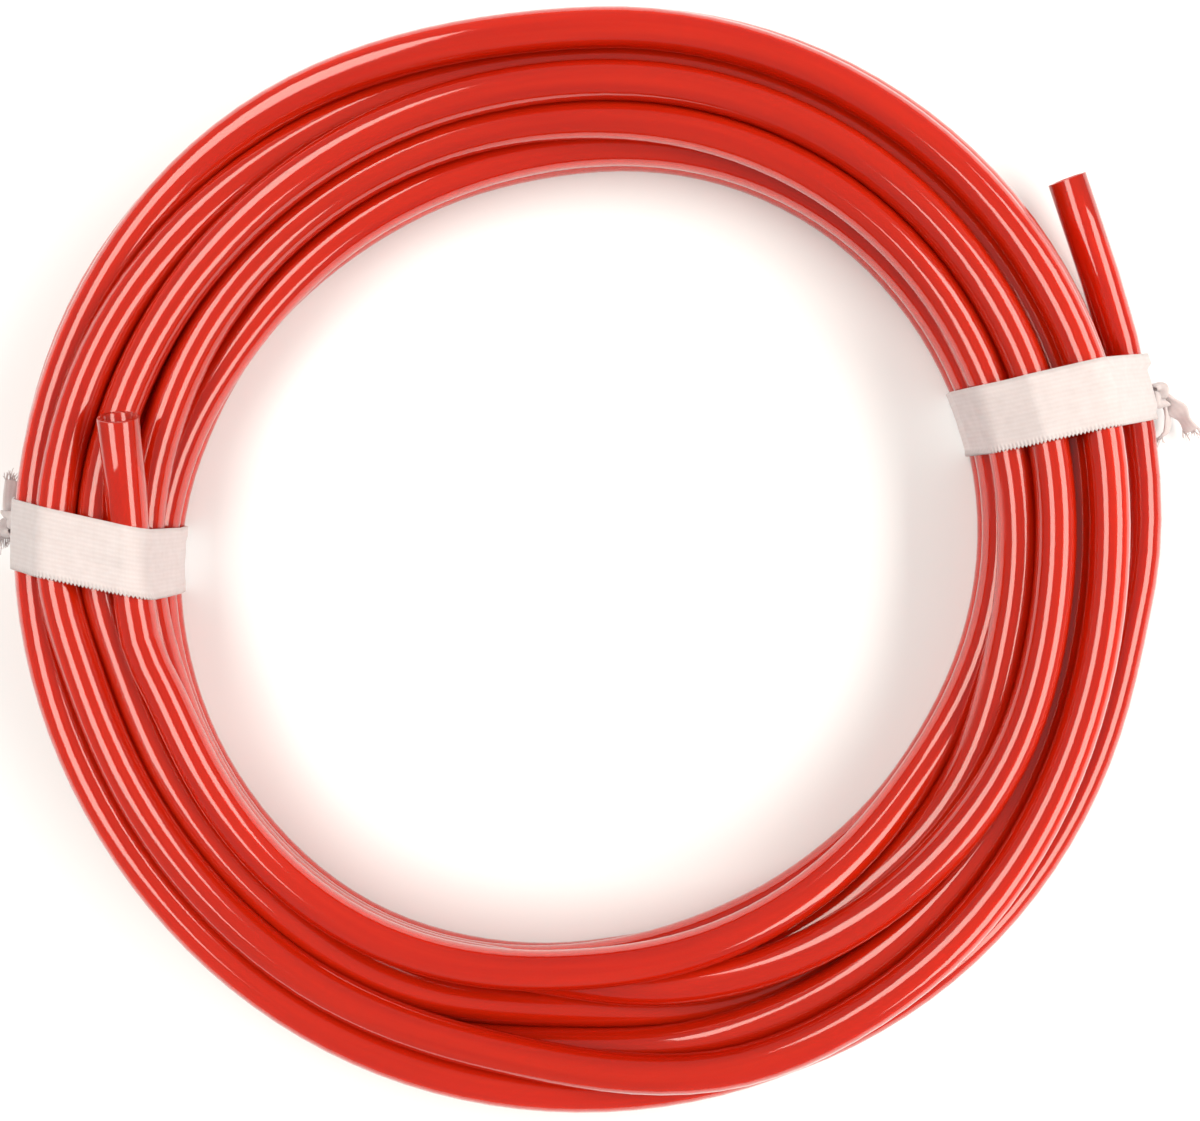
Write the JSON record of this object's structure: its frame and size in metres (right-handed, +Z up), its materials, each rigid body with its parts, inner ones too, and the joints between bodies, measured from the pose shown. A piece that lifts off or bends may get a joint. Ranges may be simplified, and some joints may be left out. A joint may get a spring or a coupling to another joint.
{
  "type": "coiled air hose",
  "caption": "Flat round coil of glossy translucent red air hose, held by woven cotton tapes, with both plain cut ends free.",
  "frame": {"origin": "on the floor, under the middle of the whole object's box; the coil's own middle is 5.6 mm towards -X", "axes": "+Z up, along the coil's own axis as it lies flat; +X towards the side where the hose's outer end leaves the coil; +Y the way that both free ends point"},
  "size_m": [0.2544, 0.235, 0.0414],
  "materials": {
    "hose_red": "glossy, slightly translucent red polyurethane",
    "tape_cotton": "narrow woven cotton tape, unbleached white"
  },
  "bodies": {
    "root": {"hose_coil": "hose_red", "hose_outer_end": "hose_red", "hose_inner_end": "hose_red", "right_tie_band": "tape_cotton", "right_tie_knot": "tape_cotton", "right_tie_tails": "tape_cotton", "left_tie_band": "tape_cotton", "left_tie_knot": "tape_cotton", "left_tie_tails": "tape_cotton"}
  },
  "joints": []
}
